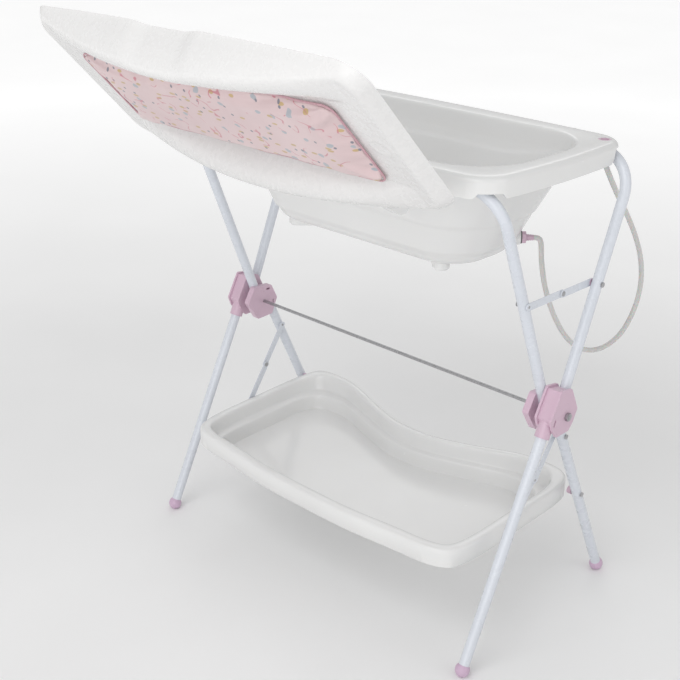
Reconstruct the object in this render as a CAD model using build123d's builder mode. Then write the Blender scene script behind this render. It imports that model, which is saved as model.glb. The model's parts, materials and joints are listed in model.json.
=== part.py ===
from build123d import *
from math import atan2, cos, degrees, hypot, pi, radians, sin, tan
import os

os.makedirs("parts", exist_ok=True)

# ---- driving dimensions (mm): Z is up, the floor is Z = 0, -Y is the front ----
pivot_y = 148.5          # scissor pivot, in the object's own frame
pivot_z = 421.2
lean = 22.0              # upper frames, degrees from upright when the stand is open
tube_r = 9.5
bore_r = 8.3
bend_r = 70.0
inner_x = 364.0          # centre line of the inner frame's legs
outer_x = 389.0
upper_len = 448.0        # pivot to the top bar, along the leg
leg_drop = 409.2         # pivot down to a foot's centre
leg_reach = 196.5        # how far a lower leg runs out over that drop
inner_offset = 21.9      # lower leg's line at pivot height, behind the pivot
outer_offset = 26.3
foot_r = 13.0
rod_r = 3.25
pin_r = 2.5
gap = 0.3                # air between curved faces that move on each other

rim_top = 857.2          # bath
rim_h = 35.0
wall = 3.0
brace_z = 633.2
tray_tilt = 2.3

hinge_y = pivot_y - 206.5   # changing top, open
hinge_z = 823.5
open_deg = 133.5

hose_r = 4.75


def save(builder, name):
    """Label a finished piece and write its STEP file."""
    builder.part.label = name
    export_step(builder.part, "parts/" + name + ".step")


def leg_plane(way):
    """Plane of an upper frame: local y runs up the leg, way is -1 to the front, 1 to the back."""
    a = radians(lean)
    return Plane(origin=(0, pivot_y, pivot_z), x_dir=(1, 0, 0), z_dir=(0, -cos(a), way * sin(a)))


def on_leg(way, length):
    """(y, z) of a point on an upper leg's centre line."""
    a = radians(lean)
    return pivot_y + way * length * sin(a), pivot_z + length * cos(a)


def on_lower(way, z):
    """y of a lower leg's centre line at height z: way 1 is the inner frame's, running to the back."""
    offset = inner_offset if way > 0 else outer_offset
    return pivot_y + way * (offset + (pivot_z - z) * leg_reach / leg_drop)


def x_plane(x):
    """Plane across X: local x is +Y and local y is +Z."""
    return Plane(origin=(x, 0, 0), x_dir=(0, 1, 0), z_dir=(1, 0, 0))


def x_rod(x0, x1, y, z, r, mode=Mode.ADD):
    """Round bar along X."""
    with BuildSketch(x_plane(x0)) as section:
        with Locations((y, z)):
            Circle(r)
    extrude(section.sketch, amount=x1 - x0, mode=mode)


def tube_along(p0, p1, r, mode=Mode.ADD):
    """Round bar between two points."""
    v = Vector(*p1) - Vector(*p0)
    with BuildSketch(Plane(origin=p0, z_dir=v.normalized())) as section:
        Circle(r)
    extrude(section.sketch, amount=v.length, mode=mode)


def sides():
    return ((-1, "left"), (1, "right"))


# ---- stand: two U frames that cross at the pivot ----
upper_start = {-1: -12.0, 1: -12.0}


def upper_frame(way, x, name, cross_z=()):
    """Upper U tube of one frame, with holes for the pivot rod."""
    with BuildPart() as frame:
        for r, mode in ((tube_r, Mode.ADD), (bore_r, Mode.SUBTRACT)):
            with BuildLine(leg_plane(way)) as line:
                FilletPolyline(
                    (-x, upper_start[way]), (-x, upper_len), (x, upper_len), (x, upper_start[way]),
                    radius=bend_r,
                )
            start = line.line @ 0
            with BuildSketch(Plane(origin=start, x_dir=(1, 0, 0), z_dir=line.line % 0)):
                Circle(r)
            sweep(path=line.line, mode=mode)
        for s, _ in sides():
            x_rod(s * x - 12, s * x + 12, pivot_y, pivot_z, rod_r + 0.05, Mode.SUBTRACT)
        for hole_x, hole_z in cross_z:
            hole_y = pivot_y + way * (hole_z - pivot_z) * tan(radians(lean))
            x_rod(hole_x - 12, hole_x + 12, hole_y, hole_z, pin_r + 0.05, Mode.SUBTRACT)
    save(frame, name)


foot_z = pivot_z - leg_drop
lower_top = pivot_z + 1.0


def lower_leg(way, x, name, holes=()):
    """Lower leg tube, from the hub to the middle of its foot."""
    with BuildPart() as leg:
        top = (x, on_lower(way, lower_top), lower_top)
        end = (x, on_lower(way, foot_z + 3), foot_z + 3)
        tube_along(top, end, tube_r)
        tube_along(top, end, bore_r, Mode.SUBTRACT)
        for hole_z in holes:
            x_rod(x - 12, x + 12, on_lower(way, hole_z), hole_z, pin_r + 0.05, Mode.SUBTRACT)
    save(leg, name)


def foot(way, x, name):
    """Ball foot pushed onto a leg, with a small flat where it stands."""
    y = on_lower(way, foot_z)
    with BuildPart() as ball:
        with Locations((x, y, foot_z)):
            Sphere(foot_r)
        tube_along((x, on_lower(way, foot_z + 3), foot_z + 3), (x, on_lower(way, 40), 40), tube_r,
                   Mode.SUBTRACT)
        with BuildSketch(Plane.XY):
            with Locations((x, y)):
                Circle(2 * foot_r)
        extrude(amount=-2 * foot_r, mode=Mode.SUBTRACT)
    save(ball, name)


stay_top_z = 350.2       # upper end of a tray stay, on the inner frame's back leg
tray_pin_z = 206.2
brace_pin_z = brace_z

upper_frame(-1, inner_x, "front_upper_frame", ((inner_x, brace_pin_z),))
upper_frame(1, outer_x, "rear_upper_frame", ((outer_x, brace_pin_z),))
for s, side in sides():
    lower_leg(1, s * inner_x, "rear_leg_" + side, (stay_top_z, tray_pin_z))
    lower_leg(-1, s * outer_x, "front_leg_" + side)
    foot(1, s * inner_x, "rear_foot_" + side)
    foot(-1, s * outer_x, "front_foot_" + side)


def legs_cut(way, x, r):
    """Take both tubes of one frame out of the part being made."""
    y1, z1 = on_leg(way, 90)
    y0, z0 = on_leg(way, upper_start[way])
    tube_along((x, y0, z0), (x, y1, z1), r, Mode.SUBTRACT)
    tube_along((x, on_lower(-way, lower_top), lower_top), (x, on_lower(-way, 330), 330), r,
               Mode.SUBTRACT)


def inner_hub(s, name):
    """Moulded cheek that ties the inner frame's two tubes together beside the pivot."""
    outline = ((-25, 35), (21, 31), (37, -1), (23, -34), (-18, -36), (-43, 3))
    with BuildPart() as hub:
        with BuildSketch(x_plane(s * 346.5)):
            with BuildLine():
                Polyline(*[(pivot_y + y, pivot_z + z) for y, z in outline], close=True)
            make_face()
            fillet(vertices(), 6)
            with Locations((pivot_y + 12, pivot_z + 24)):
                Rectangle(9, 4, mode=Mode.SUBTRACT)
            with Locations((pivot_y + 26, pivot_z - 8)):
                Rectangle(3, 10, mode=Mode.SUBTRACT)
        extrude(amount=s * 13)
        legs_cut(-1, s * inner_x, tube_r)
        x_rod(s * 346, s * 362, pivot_y, pivot_z, rod_r + 0.05, Mode.SUBTRACT)
    save(hub, name)


def outer_hub(s, name):
    """Moulded block round the outer frame's tubes: a lip, a waist and a face plate."""
    outline = ((-20, 54), (10, 49), (31, 6), (21, -16), (9, -30), (-28, -31), (-40, -14), (-47, 4))
    x0 = 374.8
    with BuildPart() as hub:
        for start, depth, inset in ((x0, 4.2, 0.0), (x0 + 4.2, 25.0, 4.0), (x0 + 29.2, 4.0, 0.5)):
            with BuildSketch(x_plane(s * start)):
                with BuildLine():
                    Polyline(*[(pivot_y + y, pivot_z + z) for y, z in outline], close=True)
                make_face()
                fillet(vertices(), 6)
                if inset:
                    offset(amount=-inset, mode=Mode.REPLACE)
            extrude(amount=s * depth)
        top = pivot_z - 6
        tube_along((s * outer_x, on_lower(-1, top), top),
                   (s * outer_x, on_lower(-1, top - 26), top - 26), 13)
        legs_cut(1, s * outer_x, tube_r)
        x_rod(s * 374, s * 409, pivot_y, pivot_z, rod_r + 0.05, Mode.SUBTRACT)
        with BuildSketch(x_plane(s * 405.5)):
            with Locations((pivot_y - 34, pivot_z - 2)):
                Rectangle(4, 12, rotation=-20)
        extrude(amount=s * 4, mode=Mode.SUBTRACT)
    save(hub, name)


for s, side in sides():
    inner_hub(s, "inner_hub_" + side)
    outer_hub(s, "outer_hub_" + side)

with BuildPart() as pivot_rod:
    x_rod(-414, 414, pivot_y, pivot_z, rod_r)
save(pivot_rod, "pivot_rod")

with BuildPart() as pivot_nuts:
    for s, _ in sides():
        with BuildSketch(x_plane(s * 408.4)):
            with Locations((pivot_y, pivot_z)):
                RegularPolygon(7.5, 6)
                Circle(rod_r, mode=Mode.SUBTRACT)
        extrude(amount=s * 5)
save(pivot_nuts, "pivot_nuts")


def frame_pins(places, name):
    """Round-headed pins, each through one tube: places are (x of tube, y, z, tail x, head way)."""
    with BuildPart() as pins:
        for x, y, z, tail, way in places:
            head = x + way * (tube_r + gap)
            x_rod(tail, head, y, z, pin_r)
            with BuildSketch(x_plane(head)):
                with Locations((y, z)):
                    Circle(4.5)
            extrude(amount=way * 2.2)
    save(pins, name)


# ---- brace on the right side: two links that lie in line when the stand is open ----
q1_y, q1_z = pivot_y - (brace_z - pivot_z) * tan(radians(lean)), brace_z
q3_y, q3_z = pivot_y + (brace_z - pivot_z) * tan(radians(lean)), brace_z
q2_y = pivot_y + 4.0
link_half = 6.5


def link(x0, thick, a, b, holes, name, extra=None):
    """Flat link with round ends between two pins; holes are (y, z, radius)."""
    angle = degrees(atan2(b[1] - a[1], b[0] - a[0]))
    length = hypot(b[0] - a[0], b[1] - a[1])
    with BuildPart() as bar:
        with BuildSketch(x_plane(x0)):
            with Locations(((a[0] + b[0]) / 2, (a[1] + b[1]) / 2)):
                SlotCenterToCenter(length, 2 * link_half, rotation=angle)
            for y, z, r in holes:
                with Locations((y, z)):
                    Circle(r, mode=Mode.SUBTRACT)
        extrude(amount=thick)
    save(bar, name)


link(374.0, 1.8, (q1_y, q1_z), (q2_y, q1_z),
     ((q1_y, q1_z, pin_r + 0.05), (q2_y, q1_z, pin_r)), "brace_front")
link(376.6, 1.8, (q2_y, q3_z), (q3_y, q3_z),
     ((q2_y, q3_z, pin_r + 0.05), (q3_y, q3_z, pin_r)), "brace_rear")
with BuildPart() as brace_rivet:
    x_rod(374.0, 379.1, q2_y, q1_z, pin_r)
    x_rod(378.5, 379.1, q2_y, q1_z, 4.5)
save(brace_rivet, "brace_rivet")
with BuildPart() as brace_spacer:
    x_rod(376.6, 378.4, q3_y, q3_z, pin_r)
    x_rod(378.4, 379.2, q3_y, q3_z, 6.5)
save(brace_spacer, "brace_spacer")

p0_y = on_lower(1, tray_pin_z)
p1_y = on_lower(1, stay_top_z)
inner_pins = [(inner_x, q1_y, q1_z, 375.8, -1)]
for s, _ in sides():
    inner_pins.append((s * inner_x, p1_y, stay_top_z, s * 350.2, s))
    inner_pins.append((s * inner_x, p0_y, tray_pin_z, s * 346.0, s))
frame_pins(inner_pins, "inner_frame_pins")
frame_pins([(outer_x, q3_y, q3_z, 379.8, 1)], "outer_frame_pin")

# ---- tray, hung on the inner frame's back legs ----
tray_x = 344.5
tray_ref_y = pivot_y - 161.0     # where the rim's top plane is at tray_ref_z
tray_ref_z = 210.2
p3_y, p3_z = pivot_y - 51.0, 191.2
stay_total = hypot(p1_y - p3_y, stay_top_z - p3_z)
stay_upper_len = 91.5
share = stay_upper_len / stay_total
p2_y = p1_y + (p3_y - p1_y) * share
p2_z = stay_top_z + (p3_z - stay_top_z) * share


def tray_plane(depth):
    """Level of the tray, depth below its rim, tilted a little down to the front."""
    a = radians(tray_tilt)
    return Plane(origin=(0, tray_ref_y, tray_ref_z), x_dir=(1, 0, 0),
                 z_dir=(0, -sin(a), cos(a))).offset(-depth)


def tray_outline(x_end, front, front_mid, back, bay, corner):
    """Kidney-shaped outline: bowed front, and a back edge with a wide bay in its middle."""
    ref = tray_ref_y - pivot_y
    with BuildLine() as edge:
        f0 = (-x_end, front + corner - ref)
        f1 = (-x_end + corner, front - ref)
        f2 = (x_end - corner, front - ref)
        f3 = (x_end, front + corner - ref)
        Line(f0, f1)
        ThreePointArc(f1, (0, front_mid - ref), f2)
        Line(f2, f3)
        b0 = (x_end, back - 30 - ref)
        b1 = (x_end - 34, back - ref)
        b2 = (0.66 * x_end, back - ref)
        Line(f3, b0)
        Line(b0, b1)
        Line(b1, b2)
        Spline(b2, (0.33 * x_end, (back + 1.4 * bay) / 2.4 - ref), (0, bay - ref),
               (-0.33 * x_end, (back + 1.4 * bay) / 2.4 - ref), (-b2[0], b2[1]),
               tangents=((-1, -0.15), (-1, 0.15)))
        Line((-b2[0], b2[1]), (-b1[0], b1[1]))
        Line((-b1[0], b1[1]), (-b0[0], b0[1]))
        Line((-b0[0], b0[1]), f0)
    make_face(edge.edges())


with BuildPart() as tray:
    with BuildSketch(tray_plane(33)):
        tray_outline(tray_x, -214, -234, 154, 87, 34)
    extrude(amount=33)
    with BuildSketch(tray_plane(64)):
        tray_outline(tray_x - 40, -186, -203, 104, 54, 26)
    extrude(amount=34)
    with BuildSketch(tray_plane(30)):
        tray_outline(tray_x - 19, -196, -212, 134, 68, 30)
    extrude(amount=31, mode=Mode.SUBTRACT)
    with BuildSketch(tray_plane(61.5)):
        tray_outline(tray_x - 43, -183, -200, 101, 51, 24)
    extrude(amount=40, mode=Mode.SUBTRACT)
    for s, _ in sides():
        x_rod(s * 330, s * 346, p0_y, tray_pin_z, 7.0)
        x_rod(s * 339, s * 347, p0_y, tray_pin_z, pin_r + 0.05, Mode.SUBTRACT)
    with BuildSketch(tray_plane(40)):
        with Locations((tray_x - 1, -184 + 161)):
            Rectangle(14, 22)
    extrude(amount=29, mode=Mode.SUBTRACT)
save(tray, "tray")

with BuildPart() as tray_bushes:
    for s, _ in sides():
        x_rod(s * 346, s * 354.2, p0_y, tray_pin_z, 7.0)
        x_rod(s * 345, s * 355, p0_y, tray_pin_z, pin_r + 0.05, Mode.SUBTRACT)
save(tray_bushes, "tray_bushes")

for s, side in sides():
    inner_face = min(s * 347.2, s * 349.2)
    outer_face = min(s * 350.2, s * 352.2)
    link(outer_face, 2.0, (p1_y, stay_top_z), (p2_y, p2_z),
         ((p1_y, stay_top_z, pin_r + 0.05), (p2_y, p2_z, pin_r)), "stay_upper_" + side)
    link(inner_face, 2.0, (p2_y, p2_z), (p3_y, p3_z),
         ((p2_y, p2_z, pin_r + 0.05), (p3_y, p3_z, pin_r)), "stay_lower_" + side)
    with BuildPart() as stay_rivet:
        x_rod(s * 346.5, s * 352.2, p2_y, p2_z, pin_r)
        x_rod(s * 346.3, s * 347.0, p2_y, p2_z, 4.5)
    save(stay_rivet, "stay_rivet_" + side)
    with BuildPart() as stay_bush:
        x_rod(s * 345.2, s * 347.2, p3_y, p3_z, 6.5)
        x_rod(s * 347.2, s * 349.2, p3_y, p3_z, pin_r)
    save(stay_bush, "stay_bush_" + side)

# ---- bath ----
rim_low = rim_top - rim_h


def bowed_rect(half_x, end_x, half_y, end_y, corner):
    """Rectangle with slightly bowed sides and round corners."""
    with BuildLine() as edge:
        ThreePointArc((-end_x, -end_y), (0, -half_y), (end_x, -end_y))
        ThreePointArc((end_x, -end_y), (half_x, 0), (end_x, end_y))
        ThreePointArc((end_x, end_y), (0, half_y), (-end_x, end_y))
        ThreePointArc((-end_x, end_y), (-half_x, 0), (-end_x, -end_y))
    make_face(edge.edges())
    fillet(vertices(), corner)


def bath_plane(z):
    return Plane.XY.offset(z).shift_origin((0, pivot_y, z))


def tub_loft(levels, mode=Mode.ADD):
    """Tub body through rounded rectangles; levels are (z, half length, half width, corner)."""
    sections = []
    for z, a, b, r in levels:
        with BuildSketch(bath_plane(z)) as level:
            RectangleRounded(2 * a, 2 * b, r)
        sections.append(level.sketch)
    loft(sections=sections, ruled=True, mode=mode)


step_z = 735.0
tub_levels = ((rim_top - 2, 333, 158, 110), (rim_low, 318, 152, 105), (step_z + 2, 275, 128, 98),
              (step_z - 2, 271, 124, 96), (682, 246, 108, 85), (660, 228, 94, 72), (654, 215, 82, 60))
drain_dir = Vector(0.75, 0.66, 0).normalized()
drain_z = 677.2
drain_at = Vector(161 + 83 * drain_dir.X, pivot_y + 23 + 83 * drain_dir.Y, drain_z)


def drain_rod(d0, d1, r, mode=Mode.ADD):
    """Round bar along the drain's axis, between two distances from the tub wall."""
    a, b = drain_at + drain_dir * d0, drain_at + drain_dir * d1
    tube_along((a.X, a.Y, a.Z), (b.X, b.Y, b.Z), r, mode)


clip_x, clip_y = 334.0, pivot_y + 156.0
hose_end = (336.0, pivot_y + 146.0, 846.0)
hinge_arm_x = 230.0
bar_y, bar_z = on_leg(1, upper_len)
bar_dy = bar_y - pivot_y

with BuildPart() as bath:
    with BuildSketch(bath_plane(rim_low)):
        bowed_rect(370, 358, 200, 190, 50)
    extrude(amount=rim_h)
    fillet(faces().sort_by(Axis.Z)[-1].outer_wire().edges(), 8)
    with BuildSketch(bath_plane(rim_low)):
        bowed_rect(370 - wall, 358 - wall, 200 - wall, 190 - wall, 50 - wall)
    extrude(amount=rim_h - wall, mode=Mode.SUBTRACT)
    tub_loft(tub_levels)
    for sx, _ in sides():
        for sy, _ in sides():
            with BuildSketch(Plane.XY.offset(642)):
                with Locations((sx * 165, pivot_y + sy * 55)):
                    SlotOverall(64, 30, rotation=sx * sy * 45)
            extrude(amount=34)
    for x in (-250, -150, -50, 50, 150, 250):
        for way in (-1, 1):
            with BuildSketch(x_plane(x - 1.5)):
                with Locations((pivot_y + way * 172, rim_top - 14)):
                    Rectangle(46, 24)
                with Locations((pivot_y + way * bar_dy, bar_z)):
                    Circle(tube_r + gap, mode=Mode.SUBTRACT)
                with Locations((pivot_y + way * bar_dy, bar_z - 20)):
                    Rectangle(2 * (tube_r + gap), 40, mode=Mode.SUBTRACT)
            extrude(amount=3)
    with BuildSketch(Plane.XY.offset(rim_top - 9)):
        with Locations((clip_x, clip_y)):
            Circle(13)
    extrude(amount=8)
    drain_rod(-6, 8, 13)
    tub_inner = [(z, a - wall, b - wall, r - wall) for z, a, b, r in tub_levels]
    tub_inner[0] = (rim_top + 1, 332, 157, 109)
    tub_inner[-1] = (654 + wall, 215 - wall, 82 - wall, 60 - wall)
    tub_loft(tub_inner, Mode.SUBTRACT)
    drain_rod(-30, 30, 6.2, Mode.SUBTRACT)
    with BuildSketch(Plane.XY.offset(rim_top - 4.5)):
        with Locations((clip_x, clip_y)):
            Circle(11.2)
    extrude(amount=6, mode=Mode.SUBTRACT)
    with BuildSketch(Plane.XY.offset(rim_top - 12)):
        with Locations((hose_end[0], hose_end[1])):
            Circle(3.2)
    extrude(amount=14, mode=Mode.SUBTRACT)
    for s, _ in sides():
        with BuildSketch(x_plane(s * 336)):
            with BuildLine():
                Polyline((pivot_y + 138, rim_low - 1), (pivot_y + 190, rim_low - 1),
                         (pivot_y + 186, rim_top - 6), (pivot_y + 148, rim_top - 6), close=True)
            make_face()
        extrude(amount=s * 50, mode=Mode.SUBTRACT)
        with BuildSketch(x_plane(s * 336)):
            with BuildLine():
                Polyline((pivot_y - 138, rim_low - 1), (pivot_y - 190, rim_low - 1),
                         (pivot_y - 188, rim_low + 10), (pivot_y - 150, rim_low + 10), close=True)
            make_face()
        extrude(amount=s * 20, mode=Mode.SUBTRACT)
save(bath, "bath")

# ---- drain, hose and its clip ----
with BuildPart() as drain_gasket:
    drain_rod(8, 10, 11)
    drain_rod(7, 11, 6.2, Mode.SUBTRACT)
save(drain_gasket, "drain_gasket")
with BuildPart() as drain_nut:
    with BuildSketch(Plane(origin=drain_at + drain_dir * 10, x_dir=(0, 0, 1), z_dir=drain_dir)):
        RegularPolygon(11, 8)
        Circle(6.2, mode=Mode.SUBTRACT)
    extrude(amount=7)
save(drain_nut, "drain_nut")
with BuildPart() as drain_nipple:
    drain_rod(-3, 17, 6.2)
    for k in range(4):
        d = 17 + 3.5 * k
        drain_rod(d, d + 2.6, 6.0 - 0.3 * k)
        drain_rod(d + 2.6, d + 3.5, 4.9 - 0.2 * k)
    drain_rod(-4, 40, 2.8, Mode.SUBTRACT)
save(drain_nipple, "drain_nipple")


def drain_point(d, drop=0.0):
    p = drain_at + drain_dir * d
    return p.X, p.Y, p.Z - drop


hose_points = [
    drain_point(31), drain_point(39), drain_point(44, 7), (261, pivot_y + 103, 656),
    (263, pivot_y + 104, 630), (268, pivot_y + 114, 581), (275, pivot_y + 135, 530),
    (281, pivot_y + 164, 485), (288, pivot_y + 205, 446), (297, pivot_y + 262, 428),
    (306, pivot_y + 318, 443), (312, pivot_y + 352, 490), (318, pivot_y + 356, 545),
    (323, pivot_y + 336, 600), (328, pivot_y + 300, 652), (332, pivot_y + 257, 702),
    (337, pivot_y + 209, 750), (341, pivot_y + 174, 788), (339, pivot_y + 151, 822), hose_end,
]
runs = [(Vector(*b) - Vector(*a)).length for a, b in zip(hose_points, hose_points[1:])]
radii = []
for i in range(1, len(hose_points) - 1):
    before = Vector(*hose_points[i]) - Vector(*hose_points[i - 1])
    after = Vector(*hose_points[i + 1]) - Vector(*hose_points[i])
    turn = radians(before.get_angle(after))
    radii.append(0.45 * min(runs[i - 1], runs[i]) / tan(turn / 2))
with BuildPart() as hose:
    with BuildLine() as hose_line:
        FilletPolyline(*hose_points, radius=radii)
    with BuildSketch(Plane(origin=hose_line.line @ 0, z_dir=hose_line.line % 0)):
        Circle(hose_r)
    sweep(path=hose_line.line)
save(hose, "hose")
hose_len = sum(edge.length for edge in hose_line.line.edges())
hose_section = pi * hose_r**2
print("hose radii", [round(r, 1) for r in radii])
print("hose runs", [round(r, 1) for r in runs])
print("hose length", round(hose_len, 1), "volume ratio",
      round(hose.part.volume / (hose_section * hose_len), 4))

with BuildPart() as hose_clip:
    with BuildSketch(Plane.XY.offset(rim_top - 4.5)):
        with Locations((clip_x, clip_y)):
            Circle(11)
    extrude(amount=4.2)
    with BuildSketch(Plane.XY.offset(rim_top - 2)):
        with Locations((clip_x, clip_y)):
            Circle(7)
    extrude(amount=4, mode=Mode.SUBTRACT)
    with BuildSketch(Plane.XY.offset(hose_end[2])):
        with Locations((hose_end[0], hose_end[1])):
            Circle(3.2)
    extrude(amount=rim_top - 3 - hose_end[2])
save(hose_clip, "hose_clip")

# ---- changing top, standing open on its hinge at the front of the rim ----
lid_a = radians(open_deg)
lid_out = (0, cos(lid_a), sin(lid_a))       # away from the hinge, along the open lid
lid_up = (0, -sin(lid_a), cos(lid_a))       # the lid's own up, square to its base
top_plane = Plane(origin=(0, hinge_y, hinge_z), x_dir=(1, 0, 0), z_dir=lid_up)
base_h, base_s0, base_s1 = 34.0, 39.5, 369.5
mid_s = (base_s0 + base_s1) / 2
half_w = (base_s1 - base_s0) / 2
plateau = 20.0
skirt_run = 18.0
bolster_w = 69.0
ridge = 47.0
grip_x, grip_r, grip_depth = -10.0, 250.0, 12.0


def lid_outline(inset):
    """Outline of the lid, with a bowed free edge."""
    c = 16
    x, s0, s1 = 370 - inset, base_s0 + inset, base_s1 - inset
    with BuildLine() as edge:
        Polyline((-x, s1 - c), (-x, s0 + c), (-x + c, s0), (x - c, s0), (x, s0 + c), (x, s1 - c),
                 (x - c, s1))
        ThreePointArc((x - c, s1), (0, s1 + 9), (-x + c, s1))
        Line((-x + c, s1), (-x, s1 - c))
    make_face(edge.edges())


def lid_side_plane(x):
    """Plane across X: local x runs out along the lid, local y is height above the hinge axis."""
    return Plane(origin=(x, hinge_y, hinge_z), x_dir=lid_out, z_dir=(1, 0, 0))


def bolster(way, inset):
    """One arched roll along a long side: its cross-section, cut to an arch seen from the side."""
    out = mid_s + way * (half_w - 10 - inset)
    crown = mid_s + way * (half_w - 32)
    inner = mid_s + way * (half_w - bolster_w + inset)
    low = base_h + 6
    with BuildPart() as roll:
        with BuildSketch(lid_side_plane(-330)):
            with BuildLine():
                Line((out, low), (out, base_h + 24))
                ThreePointArc((out, base_h + 24), (crown, base_h + plateau + ridge - inset),
                              (inner, base_h + 16))
                Line((inner, base_h + 16), (inner, low))
                Line((inner, low), (out, low))
            make_face()
        extrude(amount=660)
        along = Vector(*lid_out) * (base_s1 + 20)
        arch_plane = Plane(origin=Vector(0, hinge_y, hinge_z) + along, x_dir=(1, 0, 0),
                           z_dir=-Vector(*lid_out))
        with BuildSketch(arch_plane):
            spring = base_h + plateau - 1 - inset
            with BuildLine():
                ThreePointArc((330, spring), (0, base_h + plateau + ridge - inset), (-330, spring))
                Polyline((-330, spring), (-330, low), (330, low), (330, spring))
            make_face()
        extrude(amount=400, mode=Mode.INTERSECT)
    return roll.part


def lid_body(inset):
    """Solid form of the lid: sloped skirt, plateau, bolsters and the finger dip in the free edge."""
    with BuildPart() as body:
        with BuildSketch(top_plane.offset(base_h - inset / 3)):
            lid_outline(inset)
        with BuildSketch(top_plane.offset(base_h + plateau - inset)):
            lid_outline(skirt_run + inset * 0.8)
        loft(ruled=True)
        for way in (-1, 1):
            add(bolster(way, inset))
        with BuildSketch(top_plane.offset(base_h - 2)):
            with Locations((grip_x, base_s1 + 9 + grip_r - grip_depth)):
                Circle(grip_r + inset)
        extrude(amount=90, mode=Mode.SUBTRACT)
    return body.part


lid_solid = lid_body(0)
lid_hollow = lid_body(wall)
with BuildPart() as changing_top:
    add(lid_solid)
    add(lid_hollow, mode=Mode.SUBTRACT)
    with BuildSketch(top_plane.offset(base_h + plateau)):
        with Locations((322, mid_s)):
            Circle(19)
            Circle(16, mode=Mode.SUBTRACT)
    extrude(amount=1.2)
save(changing_top, "changing_top")

mat_t = 14.0
with BuildPart() as changing_mat:
    with BuildSketch(top_plane.offset(base_h + plateau)):
        with Locations((0, mid_s)):
            RectangleRounded(580, 176, 14)
    extrude(amount=mat_t)
save(changing_mat, "changing_mat")

# ---- top hinge: pinned knuckles on the front of the rim ----
knuckle_r = 5.5
hinge_xs = (-hinge_arm_x, hinge_arm_x)
with BuildPart() as skirt_solid:
    with BuildSketch(bath_plane(rim_low - 5)):
        bowed_rect(370, 358, 200, 190, 50)
    extrude(amount=rim_h + 10)

with BuildPart() as hinge_arms:
    for x in hinge_xs:
        with BuildSketch(lid_side_plane(x - 9)):
            with BuildLine():
                Polyline((-knuckle_r, 0), (-knuckle_r, 42), (4, 52), (52, 66), (52, 34.2),
                         (knuckle_r, 34.2), (knuckle_r, 0), close=True)
            make_face()
            Circle(knuckle_r)
            Circle(pin_r + 0.05, mode=Mode.SUBTRACT)
        extrude(amount=18)
    add(lid_solid, mode=Mode.SUBTRACT)
save(hinge_arms, "hinge_arms")

with BuildPart() as hinge_brackets:
    for x in hinge_xs:
        for x0 in (x - 18, x + 10):
            with BuildSketch(x_plane(x0)):
                with Locations((hinge_y, hinge_z)):
                    Circle(knuckle_r)
                with Locations((hinge_y + 7, hinge_z)):
                    Rectangle(14, 2 * knuckle_r)
                with Locations((hinge_y, hinge_z)):
                    Circle(pin_r, mode=Mode.SUBTRACT)
            extrude(amount=8)
    add(skirt_solid.part, mode=Mode.SUBTRACT)
save(hinge_brackets, "hinge_brackets")

with BuildPart() as hinge_pins:
    for x in hinge_xs:
        x_rod(x - 19, x + 19, hinge_y, hinge_z, pin_r)
save(hinge_pins, "hinge_pins")
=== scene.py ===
"""Looks of a folding changing table with a bath, a hinged padded top and a storage tray."""
import json
import math

import bmesh
import bpy
from mathutils import Matrix, Vector, noise


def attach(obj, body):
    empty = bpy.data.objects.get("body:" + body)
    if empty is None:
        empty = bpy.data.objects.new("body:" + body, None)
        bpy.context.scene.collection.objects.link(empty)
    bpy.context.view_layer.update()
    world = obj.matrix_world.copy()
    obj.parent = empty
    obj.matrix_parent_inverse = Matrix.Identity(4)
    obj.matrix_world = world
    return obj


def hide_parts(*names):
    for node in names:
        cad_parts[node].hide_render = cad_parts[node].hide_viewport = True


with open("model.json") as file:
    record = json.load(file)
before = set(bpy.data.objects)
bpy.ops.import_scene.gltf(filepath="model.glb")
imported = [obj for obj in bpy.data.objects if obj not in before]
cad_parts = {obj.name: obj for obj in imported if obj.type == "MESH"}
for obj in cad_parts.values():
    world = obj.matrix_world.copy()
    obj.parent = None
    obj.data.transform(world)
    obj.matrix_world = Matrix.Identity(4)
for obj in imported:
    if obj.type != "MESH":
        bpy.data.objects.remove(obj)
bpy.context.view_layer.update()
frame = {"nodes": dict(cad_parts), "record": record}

# ---- sizes, in metres, in the model's own frame ----
PIVOT_Y = 0.1485
RIM_TOP = 0.8572
RIM_H = 0.035
WALL = 0.003
HOSE_D = 0.0095
HINGE_Y, HINGE_Z = PIVOT_Y - 0.2065, 0.8235
OPEN = math.radians(133.5)
LID_BASE, LID_S0, LID_S1 = 0.034, 0.0395, 0.3695
LID_MID = (LID_S0 + LID_S1) / 2
LID_HALF_X, LID_HALF_S = 0.370, (LID_S1 - LID_S0) / 2
PLATEAU = 0.020          # height of the lid's flat middle over its lower edge
RIDGE = 0.047            # height of the two rolls over the plateau
ROLL_HALF_X = 0.328      # half length of a roll
ROLL_CREST = 0.032       # from the lid's edge in to a roll's crest
ROLL_OUTER, ROLL_INNER = 0.030, 0.037
BOSS_X, BOSS_IN, BOSS_OUT, BOSS_SOFT, BOSS_H = 0.322, 0.0145, 0.0195, 0.0016, 0.0013
LID_WALL, LID_LIP = 0.0028, 0.0032
MAT_HALF_X, MAT_HALF_S = 0.287, 0.088
PAD_VOXEL, PAD_PRESSURE, PAD_STEPS, PAD_CAP = 0.0045, 4.0, 20, 0.008
FLOOR_HALF = 12

# ---- inks of the mat's print ----
GREY_BLUE = (0.42, 0.44, 0.48)
MUSTARD = (0.56, 0.40, 0.20)
DARK_DOT = (0.22, 0.22, 0.26)
DOODLE = (0.55, 0.17, 0.22)


# ---- small helpers ----
def smooth(t):
    """Smooth step from 0 to 1."""
    t = min(max(t, 0.0), 1.0)
    return t * t * (3 - 2 * t)


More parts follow.
